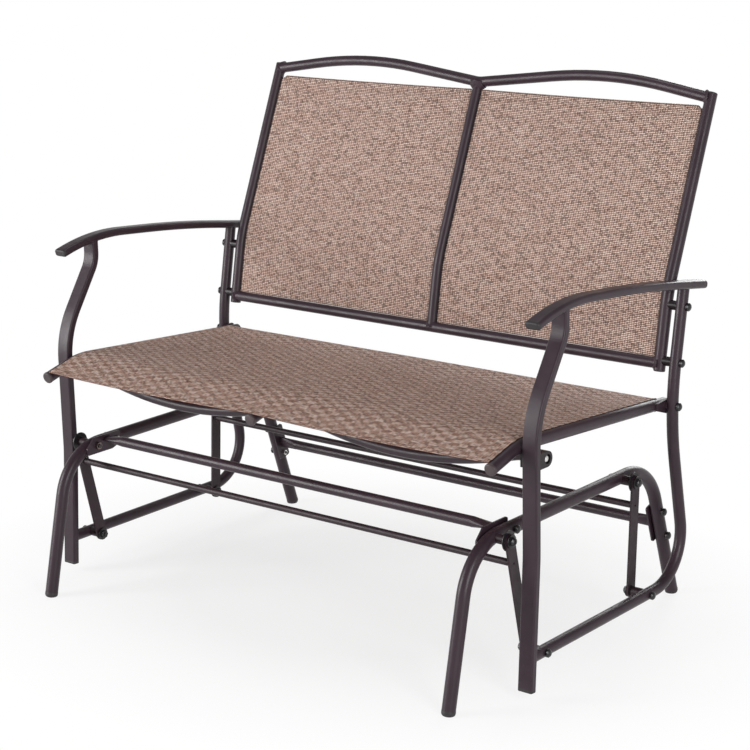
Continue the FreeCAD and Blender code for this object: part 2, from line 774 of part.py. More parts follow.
# The top rail bows up twice between the corners and dips at the middle.
half_bow = [(back_x, 0.0), (bow_crown_x, bow_crown_rise)]
bow_corners = [(-x, s) for x, s in half_bow] + [(0.0, 0.0)] + half_bow[::-1]
top_path = bent_path([back_point(x, s) for x, s in bow_corners], [bow_bend, bow_dip_bend, bow_bend])
top_rail, top_outer = round_tube(top_path, back_cross_od, back_wall)
bottom_at = on_back_line(back_bottom_rise)
bottom_outer = rod_x(-back_x, back_x, bottom_at, back_cross_od / 2)
bottom_rail = bottom_outer.cut(rod_x(-back_x, back_x, bottom_at, back_cross_od / 2 - back_wall))
for outer in back_outer.values():
    top_rail = top_rail.cut(outer)
    bottom_rail = bottom_rail.cut(outer)
pieces["back_top_rail"] = top_rail
pieces["back_bottom_rail"] = bottom_rail
centre_tube = round_tube(back_path(0.0, bottom_at, 0.0), back_centre_od, back_wall)[0]
pieces["back_centre_tube"] = centre_tube.cut(top_outer).cut(bottom_outer)

back_bolts = []
back_inserts = []
back_spacers = []
for name, side in sides:
    insert_end = side * (back_out_x - insert_length)
    for at in back_bolts_at:
        spacer = ring_x(side * back_x, side * rail_x, at, spacer_od / 2, small_bolt / 2 + hole_play)
        back_spacers.append(spacer.cut(back_outer[name]).cut(rail_outer[name]))
        insert = ring_x(insert_end, side * back_out_x, at, insert_od / 2, small_bolt / 2)
        back_inserts.append(insert.common(back_outer[name]))
        back_bolts.append(bolt_x(side * rail_out_x, insert_end, at, small_bolt))
pieces["back_spacers"] = group(back_spacers)
pieces["back_bolts"] = group(back_bolts)
pieces["back_inserts"] = group(back_inserts)


# Slings: thin sheets swept along the tubes, sagging a little between them.
def sling_wire(start, up, spans):
    """A thin closed strip across the bench: each span is (x0, lift0, x1, lift1)."""
    upper = []
    lower = []
    half = up * (sling_thick / 2)
    for x0, lift0, x1, lift1 in spans:
        first = start + Vector(x0, 0, 0) + up * lift0
        last = start + Vector(x1, 0, 0) + up * lift1
        middle = (first + last) * 0.5 - up * sling_sag
        upper.append(Part.Arc(first + half, middle + half, last + half))
        lower.append(Part.Arc(last - half, middle - half, first - half))
    edges = [arc.toShape() for arc in upper]
    edges.append(Part.LineSegment(upper[-1].EndPoint, lower[-1].StartPoint).toShape())
    edges += [arc.toShape() for arc in reversed(lower)]
    edges.append(Part.LineSegment(lower[0].EndPoint, upper[0].StartPoint).toShape())
    return Part.Wire(edges)


sling_back_y = rear_bar_y - rear_bar_od / 2
sling_path = seat_path(0.0, above(seat_line, sling_back_y))
start, along = path_start(sling_path)
seat_up = Vector(1, 0, 0).cross(along).normalize()
edge_lift = math.sqrt((seat_od / 2 + sling_gap) ** 2 - sling_tuck ** 2) + sling_thick / 2
middle_lift = seat_od / 2 + sling_gap + sling_thick / 2
edge_x = seat_x - sling_tuck
seat_spans = [(-edge_x, edge_lift, 0.0, middle_lift), (0.0, middle_lift, edge_x, edge_lift)]
pieces["seat_sling"] = sweep(sling_path, sling_wire(start, seat_up, seat_spans))

back_in_x = back_x - back_od / 2
for name, side in sides:
    low = on_back_line(back_bottom_rise + back_cross_od / 2 + sling_gap)
    sling_path = back_path(0.0, low, -back_sling_top)
    start, along = path_start(sling_path)
    up = Vector(1, 0, 0).cross(along).normalize()
    ends = sorted((side * (back_centre_od / 2 + sling_gap), side * (back_in_x - sling_gap)))
    pieces["back_sling_" + name] = sweep(sling_path, sling_wire(start, up, [(ends[0], 0.0, ends[1], 0.0)]))

# The frame's origin: the middle of the whole bench's footprint.
whole = group(list(pieces.values())).optimalBoundingBox(False, False)
origin_y = (whole.YMin + whole.YMax) / 2
for node, shape in pieces.items():
    placed = shape.copy()
    placed.translate(Vector(0, -origin_y, 0))
    placed.exportStep("parts/%s.step" % node)

print("box", [round(v, 1) for v in (whole.XMin, whole.YMin, whole.ZMin, whole.XMax, whole.YMax, whole.ZMax)])
print("origin is at y", round(origin_y, 3), "of the drawing")
for label, places in (("upper", upper_pivots), ("lower", lower_pivots)):
    for end, at in places.items():
        print(label, end, "pivot", round(at[0] - origin_y, 3), round(at[1], 3))
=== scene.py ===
import math

import bpy
import numpy as np
from mathutils import Matrix, Vector


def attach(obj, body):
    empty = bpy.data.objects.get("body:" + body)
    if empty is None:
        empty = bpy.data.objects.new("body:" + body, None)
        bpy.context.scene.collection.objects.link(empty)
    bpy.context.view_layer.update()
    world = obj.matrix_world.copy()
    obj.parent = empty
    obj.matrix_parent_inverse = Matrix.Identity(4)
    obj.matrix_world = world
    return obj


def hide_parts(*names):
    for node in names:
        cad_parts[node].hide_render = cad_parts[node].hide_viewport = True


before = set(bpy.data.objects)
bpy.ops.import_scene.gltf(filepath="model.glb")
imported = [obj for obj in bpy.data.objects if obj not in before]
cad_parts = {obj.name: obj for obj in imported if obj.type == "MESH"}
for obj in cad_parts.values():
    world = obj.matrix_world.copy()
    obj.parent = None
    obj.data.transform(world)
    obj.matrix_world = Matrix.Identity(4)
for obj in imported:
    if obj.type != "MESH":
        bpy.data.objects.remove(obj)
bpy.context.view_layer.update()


# Base arches: 25 mm steel tube, bent on a tube bender and powder coated in a dark brown.
# They stand on two black plastic caps each, and most other painted pieces share their finish.
coat_colour = (0.034, 0.020, 0.0275)
coat_roughness = (0.30, 0.40)


def shaded(colour, amount):
    """A colour scaled by an amount, as RGBA."""
    return tuple(min(1.0, c * amount) for c in colour) + (1.0,)


class Finish:
    """A node material under construction: each call adds one node and returns its first output."""

    def __init__(self, name):
        self.material = bpy.data.materials.new(name)
        self.material.use_nodes = True
        self.tree = self.material.node_tree
        self.shader = self.tree.nodes["Principled BSDF"]

    def join(self, value, socket):
        if isinstance(value, bpy.types.NodeSocket):
            self.tree.links.new(value, socket)
        else:
            socket.default_value = value

    def node(self, kind, output=0, settings=None, **inputs):
        """Adds a node; inputs are named, or numbered as i0, i1 and so on."""
        made = self.tree.nodes.new(kind)
        for key, value in (settings or {}).items():
            setattr(made, key, value)
        for key, value in inputs.items():
            socket = made.inputs[int(key[1:])] if key[1:].isdigit() else made.inputs[key.replace("_", " ")]
            self.join(value, socket)
        return made.outputs[output]

    def calc(self, operation, *values):
        inputs = {"i%d" % i: value for i, value in enumerate(values)}
        return self.node("ShaderNodeMath", settings={"operation": operation}, **inputs)

    def ramp(self, factor, stops):
        """A ramp through (place, colour) stops; a single number stands for a grey."""
        out = self.node("ShaderNodeValToRGB", Fac=factor)
        elements = out.node.color_ramp.elements
        while len(elements) < len(stops):
            elements.new(0.5)
        for element, (place, colour) in zip(elements, stops):
            element.position = place
            element.color = shaded((colour,) * 3 if isinstance(colour, float) else colour[:3], 1.0)
        return out

    def blend(self, share, first, second, kind="MIX"):
        return self.node("ShaderNodeMix", output=2, settings={"data_type": "RGBA", "blend_type": kind},
                         i0=share, i6=first, i7=second)

    def bump(self, height, strength, distance):
        return self.node("ShaderNodeBump", Height=height, Strength=strength, Distance=distance)

    def noise(self, vector, scale, detail=2.0):
        return self.node("ShaderNodeTexNoise", Vector=vector, Scale=scale, Detail=detail)

    def object_place(self):
        return self.node("ShaderNodeTexCoord", output=3)

    def set(self, **values):
        for key, value in values.items():
            self.join(value, self.shader.inputs[key.replace("_", " ")])
        return self.material


def powder_coat(name, colour, roughness):
    """Baked powder: a faint orange peel, and a little unevenness of tone and of gloss."""
    coat = Finish(name)
    place = coat.object_place()
    shade = coat.ramp(coat.noise(place, 14.0, 3.0), [(0.3, shaded(colour, 0.86)), (0.7, shaded(colour, 1.16))])
    gloss = coat.ramp(coat.noise(place, 55.0), [(0.3, roughness[0]), (0.7, roughness[1])])
    peel = coat.bump(coat.noise(place, 900.0, 1.0), 0.22, 0.0004)
    return coat.set(Base_Color=shade, Roughness=gloss, Normal=peel, Specular_IOR_Level=0.28)


def dress(material, *names):
    """Gives CAD nodes a finish."""
    for name in names:
        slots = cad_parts[name].data.materials
        slots.clear()
        slots.append(material)


coat = powder_coat("brown_powder_coat", coat_colour, coat_roughness)
dress(coat, "base_arch_left", "base_arch_right")


def moulded(name, colour, roughness, grain):
    """Black plastic: the fine spark texture of a mould, and a slightly worn tone."""
    plastic = Finish(name)
    place = plastic.object_place()
    shade = plastic.ramp(plastic.noise(place, 40.0, 3.0),
                         [(0.3, shaded(colour, 0.8)), (0.75, shaded(colour, 1.3))])
    texture = plastic.bump(plastic.noise(place, grain, 1.0), 0.3, 0.0003)
    return plastic.set(Base_Color=shade, Roughness=roughness, Normal=texture)


cap_plastic = moulded("black_cap_plastic", (0.018, 0.014, 0.016), 0.55, 1400.0)
dress(cap_plastic, "foot_caps")


# Cross tubes: 20 mm tube with flattened ends on laser-cut plates, coated like the arches, and
# held to them by bolts with black plastic heads and plain zinc nuts.
dress(coat, "base_cross_tube_front", "base_cross_tube_rear")
bolt_cap = moulded("black_bolt_cap", (0.012, 0.010, 0.012), 0.28, 1800.0)
dress(bolt_cap, "cross_tube_bolts")


def zinc_plate(name, colour):
    """Plated steel: bright or dark metal, clouded by fine and coarse noise."""
    zinc = Finish(name)
    place = zinc.object_place()
    shade = zinc.ramp(zinc.noise(place, 260.0, 3.0), [(0.3, shaded(colour, 0.8)), (0.7, shaded(colour, 1.15))])
    rough = zinc.ramp(zinc.noise(place, 420.0), [(0.3, 0.26), (0.7, 0.42)])
    scratch = zinc.bump(zinc.noise(place, 1600.0), 0.15, 0.0002)
    return zinc.set(Base_Color=shade, Roughness=rough, Normal=scratch, Metallic=1.0)


zinc = zinc_plate("zinc_plate", (0.71, 0.71, 0.69))
dark_zinc = zinc_plate("dark_zinc_plate", (0.20, 0.155, 0.15))
dress(zinc, "cross_tube_nuts")


# Swing links: punched flat bar with a nylon bush at each end, coated in a batch of their own
# and so a touch flatter. A thin rod with a weld at each end ties a left and a right link together.
link_coat = powder_coat("link_powder_coat", (0.025, 0.013, 0.018), (0.38, 0.50))
dress(link_coat, "link_front_left", "link_front_right", "link_rear_left", "link_rear_right",
      "link_rod_front", "link_rod_rear", "upper_pivot_spacers", "lower_pivot_spacers")
bush_nylon = moulded("black_bush_nylon", (0.010, 0.009, 0.010), 0.38, 2200.0)
dress(bush_nylon, "link_bushes_front", "link_bushes_rear", "upper_pivot_washers", "lower_pivot_washers")
dress(bolt_cap, "upper_pivot_bolts", "lower_pivot_bolts", "lower_pivot_nuts")
# The upper pivot nuts get a darker, browner zinc colour than the other nuts.
dress(dark_zinc, "upper_pivot_nuts")


def grid_faces(rows, columns, round_rows=False, round_columns=False):
    """Quads of a grid whose vertices run row by row, and join their far sides where it is round."""
    r = np.arange(rows if round_rows else rows - 1)[:, None]
    c = np.arange(columns if round_columns else columns - 1)[None, :]
    below = (r + 1) % rows
    beside = (c + 1) % columns
    quads = np.stack([r * columns + c, r * columns + beside,
                      below * columns + beside, below * columns + c], axis=-1)
    return quads.reshape(-1, 4)


def make_piece(name, verts, faces, material, body, uv=None):
    """A smooth mesh object from arrays, riding on a body, with an optional UV place for each vertex."""
    mesh = bpy.data.meshes.new(name)
    mesh.from_pydata(np.asarray(verts).reshape(-1, 3).tolist(), [], np.asarray(faces).tolist())
    if uv is not None:
        corner = np.empty(len(mesh.loops), dtype=np.int32)
        mesh.loops.foreach_get("vertex_index", corner)
        layer = mesh.uv_layers.new(name="cloth")
        layer.data.foreach_set("uv", np.asarray(uv).reshape(-1, 2)[corner].ravel())
    mesh.polygons.foreach_set("use_smooth", np.ones(len(mesh.polygons), dtype=bool))
    mesh.materials.append(material)
    piece = bpy.data.objects.new(name, mesh)
    bpy.context.scene.collection.objects.link(piece)
    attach(piece, body)
    return piece


def weld_ring(name, foot, out, radius, bar, bar_radius, leg, body):
    """A weld round a tube that stands on a bar, or on a flat plate where bar_radius is None.

    At each angle the tube's surface runs along out until its distance from the bar's axis is
    bar_radius, the root of a quadratic. The bead's section goes from a leg's length up the tube
    to a leg's length out on the bar, bulging between them, and back under the metal. Ripples
    are a small sine of the angle."""
    foot, out, bar = (np.array(v, dtype=float) for v in (foot, out, bar))
    out /= np.linalg.norm(out)
    bar /= np.linalg.norm(bar)
    angle = np.linspace(0, 2 * math.pi, 64, endpoint=False)[:, None]
    first = bar - out * (bar @ out)
    first /= np.linalg.norm(first)
    second = np.cross(out, first)
    ray = np.cos(angle) * first + np.sin(angle) * second

    def seam(reach):
        start = ray * reach
        if bar_radius is None:
            return start + foot
        across = start - (start @ bar)[:, None] * bar
        toward = out - bar * (out @ bar)
        half = (across @ toward)[:, None]
        square = toward @ toward
        inside = half ** 2 - square * ((across ** 2).sum(axis=1)[:, None] - bar_radius ** 2)
        return foot + start + out * (np.sqrt(np.maximum(inside, 0)) - half) / square

    ripple_pitch = 0.0016
    edge_sunk = 0.0004
    root_sunk = 0.0006
    ripple = 1 + 0.10 * np.sin(angle * round(2 * math.pi * radius / ripple_pitch))
    low = seam(radius + leg * ripple) - out * edge_sunk
    corner = seam(radius)
    high = corner + out * leg * ripple - ray * edge_sunk
    under = corner - out * root_sunk - ray * root_sunk
    share = np.linspace(0, 1, 7)[None, :, None]
    bulge = (corner + (out + ray) * leg * 0.42)[:, None, :]
    face = ((1 - share) ** 2 * low[:, None, :] + 2 * share * (1 - share) * bulge
            + share ** 2 * high[:, None, :])
    verts = np.concatenate([face, under[:, None, :]], axis=1)
    return make_piece(name, verts, grid_faces(len(angle), verts.shape[1], True, True), coat, body)


drawing_back = 0.029043
link_inner_face = 0.5243
rod_radius = 0.00635
rod_drop = 0.044
link_pivots = {"front": ((-0.263043, 0.281905), (-0.216843, 0.074)),
               "rear": ((0.138957, 0.281905), (0.126157, 0.074))}
for end, (upper, lower) in link_pivots.items():
    down = np.array(lower) - np.array(upper)
    rod_place = np.array(upper) + down / np.linalg.norm(down) * rod_drop
    for side, name in ((-1, "left"), (1, "right")):
        weld_ring("weld_rod_%s_%s" % (end, name), (side * link_inner_face, *rod_place), (-side, 0, 0),
                  rod_radius, (0, 0, 1), None, 0.0022, end + "_swing")


# Side frames: flat tube with rounded corners for front legs and armrests, round tube for the
# lower rail and upright, all coated after welding, with press-in plastic caps in the open ends.
dress(coat, "armrest_left", "armrest_right", "front_leg_left", "front_leg_right",
      "rear_rail_left", "rear_rail_right")
# The leg lugs get a darker coat than the frame: painted shade for the recess round each lug.
shade_dark_coat = powder_coat("painted_shade_lug_coat", (0.011, 0.007, 0.009), (0.28, 0.38))
dress(shade_dark_coat, "leg_lug_left", "leg_lug_right")
dress(cap_plastic, "front_leg_caps", "armrest_caps")
dress(zinc, "lug_bolts")


# Seat frame: three long round tubes on a bowed front bar and a straight rear bar, welded at each
# crossing, with a bracket at the back of each outer tube and a cap on every open end.
seat_cap_plastic = moulded("brown_cap_plastic", (0.048, 0.032, 0.035), 0.5, 1400.0)
dress(coat, "seat_tube_left", "seat_tube_centre", "seat_tube_right", "seat_front_bar", "seat_rear_bar",
      "seat_bracket_left", "seat_bracket_right", "seat_bracket_spacers")
dress(seat_cap_plastic, "seat_tube_caps")
dress(bolt_cap, "seat_bracket_bolts", "seat_bracket_nuts")
tube_radius = 0.011
seat_x = 0.5341
seat_corners = [(-0.297 - drawing_back, 0.427), (-0.215 - drawing_back, 0.449), (0.252 - drawing_back, 0.416)]
seat_run = np.array(seat_corners[2]) - np.array(seat_corners[1])
rear_bar_y = 0.222 - drawing_back
rear_bar = (rear_bar_y, seat_corners[1][1] + seat_run[1] / seat_run[0] * (rear_bar_y - seat_corners[1][0]))
rear_bar_radius = 0.0095
for side, name in ((-1, "left"), (1, "right")):
    weld_ring("weld_rear_bar_" + name, (side * seat_x, *rear_bar), (-side, 0, 0), rear_bar_radius,
              (0, *seat_run), tube_radius, 0.0030, "seat")


# Backrest frame: round side rails and a middle tube between a straight lower rail and a top rail
# bent in two bows. The joint of middle tube and top rail carries the heaviest weld.
dress(coat, "back_side_rail_left", "back_side_rail_right", "back_top_rail", "back_bottom_rail",
      "back_centre_tube")
# The back spacers take the same darker coat: painted shade in the gap between back rail and upright.
dress(shade_dark_coat, "back_spacers")
dress(cap_plastic, "back_rail_caps")
dress(bolt_cap, "back_bolts")
dress(zinc, "back_inserts")
back_x = 0.5281
back_corners = [(0.24425 - drawing_back, 0.480), (0.270775 - drawing_back, 0.6196),
                (0.414 - drawing_back, 0.9625)]
back_top = np.array(back_corners[2])
back_up = back_top - np.array(back_corners[1])
back_up /= np.linalg.norm(back_up)
low_up = np.array(back_corners[1]) - np.array(back_corners[0])
low_up /= np.linalg.norm(low_up)
cross_radius = 0.0105
centre_radius = 0.010
bottom_rise = 0.012
bottom_rail = np.array(back_corners[0]) + low_up * bottom_rise
weld_ring("weld_back_centre_top", (0, *back_top), (0, *-back_up), centre_radius, (1, 0, 0), cross_radius,
          0.0070, "seat")
weld_ring("weld_back_centre_low", (0, *bottom_rail), (0, *low_up), centre_radius, (1, 0, 0), cross_radius,
          0.0032, "seat")
bow_crown_x = 0.300
bow_rise = 0.038
bow = np.array([bow_crown_x - back_x, *(back_up * bow_rise)])
bow /= np.linalg.norm(bow)
for side, name in ((-1, "left"), (1, "right")):
    weld_ring("weld_back_top_" + name, (side * back_x, *back_top), (side * bow[0], bow[1], bow[2]),
              cross_radius, (0, *back_up), tube_radius, 0.0032, "seat")
    weld_ring("weld_back_low_" + name, (side * back_x, *bottom_rail), (-side, 0, 0), cross_radius,
              (0, *low_up), tube_radius, 0.0032, "seat")


# Seat sling: one panel of vinyl-coated yarn, woven in tan, brown and cream, stretched from side
# tube to side tube over the middle one, with a stitched hem in front. Its rear edge lies on the bar.
def bent_line(corners, bends, step=0.004):
    """Points (y, z) along straight runs whose corners are rounded by circular arcs.

    An arc starts bend * tan(turn / 2) before its corner and turns evenly to the next run."""
    points = [np.array(corners[0])]
    for before, corner, after, bend in zip(corners, corners[1:], corners[2:], bends):
        corner = np.array(corner)
        go_in = (corner - before) / np.linalg.norm(corner - before)
        go_out = (after - corner) / np.linalg.norm(after - corner)
        turn = math.acos(float(np.clip(go_in @ go_out, -1, 1)))
        side = np.sign(go_in[0] * go_out[1] - go_in[1] * go_out[0])
        start = corner - go_in * bend * math.tan(turn / 2)
        normal = np.array([-go_in[1], go_in[0]]) * side
        angles = np.linspace(0, turn, 24)[:, None]
        points.extend(start + go_in * bend * np.sin(angles) + normal * bend * (1 - np.cos(angles)))
    points.append(np.array(corners[-1]))
    rough = np.array(points)
    along = np.concatenate([[0], np.cumsum(np.linalg.norm(np.diff(rough, axis=0), axis=1))])
    keep = np.concatenate([[True], np.diff(along) > 1e-9])
    even = np.linspace(0, along[-1], int(along[-1] / step) + 1)
    line = np.stack([np.interp(even, along[keep], rough[keep, i]) for i in (0, 1)], axis=1)
    return line, even


class Surface:
    """A surface over a bent line in Y and Z: the place at a distance along the line and an X is the
    line's point, moved along the line's normal by the height that the lift function gives."""

    def __init__(self, corners, bends, lift):
        self.line, self.even = bent_line(corners, bends)
        slope = np.gradient(self.line, axis=0)
        slope /= np.linalg.norm(slope, axis=1)[:, None]
        self.normal = np.stack([-slope[:, 1], slope[:, 0]], axis=1)
        self.length = float(self.even[-1])
        self.lift = lift

    def at(self, along, x, above=0.0):
        """Places for arrays of distances and X, raised by above along the normal."""
        along, x, above = np.broadcast_arrays(along, x, above)
        height = self.lift(along, x) + above
        on_line, out = ([np.interp(along, self.even, values[:, i]) for i in (0, 1)]
                        for values in (self.line, self.normal))
        place = [on_line[i] + height * out[i] for i in (0, 1)]
        return np.stack([x, *place], axis=-1)


def sling_weave(name, sunk_block_shade, check):
    """Woven coated yarn on the UV map, whose unit is a metre.

    A yarn's number is the floor of its place over the pitch, and its roundness a half sine of the
    rest. A tighter warp binds the wefts at every second place, firmly in one half of a checkerboard
    of blocks three wefts high and lightly in the other, where the wefts lie paler on top. The yarns
    change colour slowly along their length, and neighbours change together. The firmly bound
    blocks lie lower, and sunk_block_shade is what is left of their colour there. The share of the light
    binding is a half plus or minus half of check, so a check of 0 gives plain weft lines. Short
    flecks along each weft are darker or paler than the rest."""
    warp_pitch = 0.0026
    weft_pitch = 0.0034
    block = 0.0185
    cloth = Finish(name)
    uv_place = cloth.node("ShaderNodeUVMap", settings={"uv_map": "cloth"})
    parts = cloth.node("ShaderNodeSeparateXYZ", i0=uv_place).node
    across = cloth.calc("DIVIDE", parts.outputs[0], warp_pitch)
    along = cloth.calc("DIVIDE", parts.outputs[1], weft_pitch)
    weft_number = cloth.calc("FLOOR", along)
    row = cloth.calc("FLOOR", cloth.calc("DIVIDE", weft_number, 3.0))
    column = cloth.calc("FLOOR", cloth.calc("DIVIDE", parts.outputs[0], block))
    block_side = cloth.calc("PINGPONG", cloth.calc("ADD", row, column), 1.0)
    bright = cloth.calc("ADD", cloth.calc("MULTIPLY", block_side, check), (1.0 - check) / 2)
    weft_round = cloth.calc("SINE", cloth.calc("MULTIPLY", cloth.calc("FRACT", along), math.pi))
    pair_place = cloth.calc("FRACT", cloth.calc("MULTIPLY", across, 0.5))
    pair_round = cloth.calc("SINE", cloth.calc("MULTIPLY", pair_place, math.pi))
    warp_round = cloth.calc("SINE", cloth.calc("MULTIPLY", cloth.calc("FRACT", across), math.pi))

    def dyed(length_scale, number_scale, seed, stops):
        spot = cloth.node("ShaderNodeCombineXYZ", i0=cloth.calc("MULTIPLY", across, length_scale),
                          i1=cloth.calc("MULTIPLY", weft_number, number_scale), i2=seed)
        return cloth.ramp(cloth.noise(spot, 1.0, 3.0), stops)

    cream = (0.88, 0.75, 0.67)
    mid = (0.86, 0.67, 0.58)
    tan = (0.74, 0.54, 0.455)
    rust = (0.50, 0.31, 0.23)
    floating = dyed(0.10, 0.42, 3.7, [(0.34, tan), (0.50, mid), (0.66, cream)])
    woven = dyed(0.09, 0.23, 8.1, [(0.22, rust), (0.46, tan), (0.66, mid)])
    # Painted shade: the colour of the lower, firmly bound blocks is multiplied down by the given tone.
    sunk = cloth.blend(1.0, woven, shaded(sunk_block_shade, 1.0), "MULTIPLY")
    yarn = cloth.blend(bright, sunk, floating)
    fleck = cloth.node("ShaderNodeCombineXYZ", i0=cloth.calc("MULTIPLY", across, 0.45),
                       i1=cloth.calc("MULTIPLY", weft_number, 7.31), i2=1.9)
    fleck_tone = cloth.ramp(cloth.noise(fleck, 1.0, 1.0),
                            [(0.37, 0.46), (0.49, 0.90), (0.56, 0.97), (0.62, 1.13)])
    yarn = cloth.blend(1.0, yarn, fleck_tone, "MULTIPLY")
    # Painted shade in the gaps between the wefts and between the warps: the colour is darkened where each
    # yarn's roundness runs out.
    between = cloth.ramp(weft_round, [(0.28, (0.15, 0.085, 0.07)), (0.74, (1.0, 1.0, 1.0))])
    firm = cloth.ramp(pair_round, [(0.27, (0.20, 0.12, 0.10)), (0.60, (1.0, 1.0, 1.0))])
    light = cloth.ramp(pair_round, [(0.16, (0.62, 0.52, 0.48)), (0.34, (1.0, 1.0, 1.0))])
    fine = cloth.ramp(warp_round, [(0.15, (0.70, 0.64, 0.62)), (0.45, (1.0, 1.0, 1.0))])
    shade = cloth.blend(1.0, yarn, between, "MULTIPLY")
    shade = cloth.blend(1.0, shade, cloth.blend(bright, firm, light), "MULTIPLY")
    shade = cloth.blend(1.0, shade, fine, "MULTIPLY")
    dip = cloth.node("ShaderNodeMix", settings={"data_type": "FLOAT"}, i0=bright, i2=0.65, i3=0.30)
    height = cloth.calc("MULTIPLY", weft_round, cloth.calc("SUBTRACT", 1.0, cloth.calc(
        "MULTIPLY", dip, cloth.calc("SUBTRACT", 1.0, pair_round))))
    relief = cloth.bump(height, 0.8, 0.0012)
    return cloth.set(Base_Color=shade, Roughness=0.6, Normal=relief, Specular_IOR_Level=0.1)


def stretched_cloth(name, surface, xs, low, high, thick, rows, cloth):
    """A sheet of cloth over a surface, between two distances that may differ with X.

    Its distance along the line goes evenly from low(x) to high(x). The UV map is in metres."""
    share = np.linspace(0, 1, rows)[:, None]
    along = low(xs)[None, :] * (1 - share) + high(xs)[None, :] * share
    x = np.broadcast_to(xs[None, :], along.shape)
    uv = np.stack([x, along], axis=-1)
    piece = make_piece(name, surface.at(along, x), grid_faces(rows, len(xs)), cloth, "seat", uv)
    solid = piece.modifiers.new("thickness", "SOLIDIFY")
    solid.thickness = thick
    solid.offset = 0.0
    return piece


def stitch_row(name, surface, along, xs, above):
    """A row of stitches: each is a six-sided bead, 3.4 mm long, whose radius is a half circle's root
    of its place along it, so that it is closed and pointed at both ends."""
    share = np.linspace(0, 1, 7)
    half = 0.0017
    centre = surface.at(along, xs, above)
    raised = surface.at(along, xs, above + 0.001) - centre
    raised /= np.linalg.norm(raised, axis=-1)[:, None]
    cross = np.cross(np.array([1.0, 0.0, 0.0]), raised)
    turn = np.linspace(0, 2 * math.pi, 6, endpoint=False)
    radius = 0.00042 * np.sqrt(np.maximum(1 - (2 * share - 1) ** 2, 0.0016))
    spine = centre[:, None, :] + np.array([1.0, 0.0, 0.0]) * ((2 * share - 1) * half)[None, :, None]
    spread = (np.cos(turn)[None, None, :, None] * raised[:, None, None, :]
              + np.sin(turn)[None, None, :, None] * cross[:, None, None, :])
    verts = spine[:, :, None, :] + radius[None, :, None, None] * spread
    ring = grid_faces(len(share), 6, False, True)
    faces = (np.arange(len(xs))[:, None, None] * (6 * len(share)) + ring[None]).reshape(-1, 4)
    return make_piece(name, verts, faces, thread, "seat")


def carried_round(name, surface, along, x, above, radius, material):
    """A thin round strip whose centre follows the surface through arrays of distance and X. Its UV
    place is the distance run along it and the way round it, in metres."""
    centre = surface.at(along, x, above)
    forward = np.gradient(centre, axis=0)
    forward /= np.linalg.norm(forward, axis=1)[:, None]
    raised = surface.at(along, x, above + 0.001) - centre
    raised -= forward * (raised * forward).sum(axis=1)[:, None]
    raised /= np.linalg.norm(raised, axis=1)[:, None]
    cross = np.cross(forward, raised)
    turn = np.linspace(0, 2 * math.pi, 10, endpoint=False)[None, :, None]
    thin = np.ones(len(centre))
    thin[0] = thin[-1] = 0.02
    reach = radius * thin[:, None, None]
    verts = centre[:, None, :] + reach * (np.cos(turn) * raised[:, None, :] + np.sin(turn) * cross[:, None, :])
    run = np.concatenate([[0], np.cumsum(np.linalg.norm(np.diff(centre, axis=0), axis=1))])
    uv = np.stack(np.broadcast_arrays(run[:, None], 0.7 + radius * turn[:, :, 0]), axis=-1)
    return make_piece(name, verts, grid_faces(len(centre), 10, False, True), material, "seat", uv)


# The seat copy gets a darker, redder tone in its bound blocks than the back copy: painted shade, as the seat
# lies less lit than the back.
seat_cloth = sling_weave("seat_sling_weave", (0.86, 0.76, 0.72), 0.90)
cloth_thick = 0.0015
sag = 0.005
edge_inside = 0.004
cloth_gap = 0.0001
lift_past_gap = 0.0008
seat_edge = seat_x - edge_inside
middle_lift = tube_radius + cloth_gap + lift_past_gap
edge_lift = math.sqrt((tube_radius + cloth_gap) ** 2 - edge_inside ** 2) + lift_past_gap
past_bar = (seat_corners[2][0] - rear_bar[0]) * float(np.linalg.norm(seat_run)) / seat_run[0]
bar_top = rear_bar_radius + cloth_thick / 2 + 0.0002
over_bar = 0.008


def seat_lift(along, x):
    """Cloth height over the tube line: a shallow parabola in each of the two bays. It runs out
    towards the rear bar, which the cloth follows as a circle, and stays clear of the side tubes."""
    share = np.abs(x) / seat_edge
    straight = middle_lift + (edge_lift - middle_lift) * share
    hung = straight - sag * 4 * share * (1 - share)
    past = along - seat_bar_place
    step = np.clip(past / 0.006, 0, 1)
    round_bar = np.sqrt(bar_top ** 2 - np.maximum(past, 0) ** 2)
    beside = np.sqrt(np.maximum(middle_lift ** 2 - (np.abs(x) - seat_x) ** 2, 0))
    fading = 1 - step * step * (3 - 2 * step)
    on_bar = np.maximum(round_bar + np.maximum(straight - bar_top, 0) * fading, beside)
    near = np.clip(1 + (past + 0.0105) / 0.055, 0, 1)
    near = near * near * (3 - 2 * near)
    return hung * (1 - near) + on_bar * near


seat_surface = Surface(seat_corners, [0.180], seat_lift)
seat_bar_place = seat_surface.length - past_bar
seat_end = seat_bar_place + over_bar
seat_xs = np.concatenate([np.linspace(-seat_edge, 0, 100), np.linspace(0, seat_edge, 100)[1:]])
seat_sling = stretched_cloth("seat_sling_cloth", seat_surface, seat_xs, lambda x: 0 * x,
                             lambda x: seat_end + 0 * x, cloth_thick, 140, seat_cloth)
spun = Finish("tan_thread")
thread_shade = spun.ramp(spun.noise(spun.object_place(), 700.0),
                         [(0.3, (0.26, 0.17, 0.13)), (0.7, (0.42, 0.30, 0.24))])
thread = spun.set(Base_Color=thread_shade, Roughness=0.6)
stitch_xs = np.arange(-seat_edge + 0.006, seat_edge - 0.005, 0.0042)
seat_stitches = [stitch_row("seat_hem_stitches_%d" % i, seat_surface, at, stitch_xs, cloth_thick / 2 + 0.0002)
                 for i, at in enumerate((0.018, 0.024))]
seat_roll = carried_round("seat_hem_roll", seat_surface, np.full(199, 0.0016), seat_xs, 0.0006, 0.0014,
                          seat_cloth)
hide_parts("seat_sling")


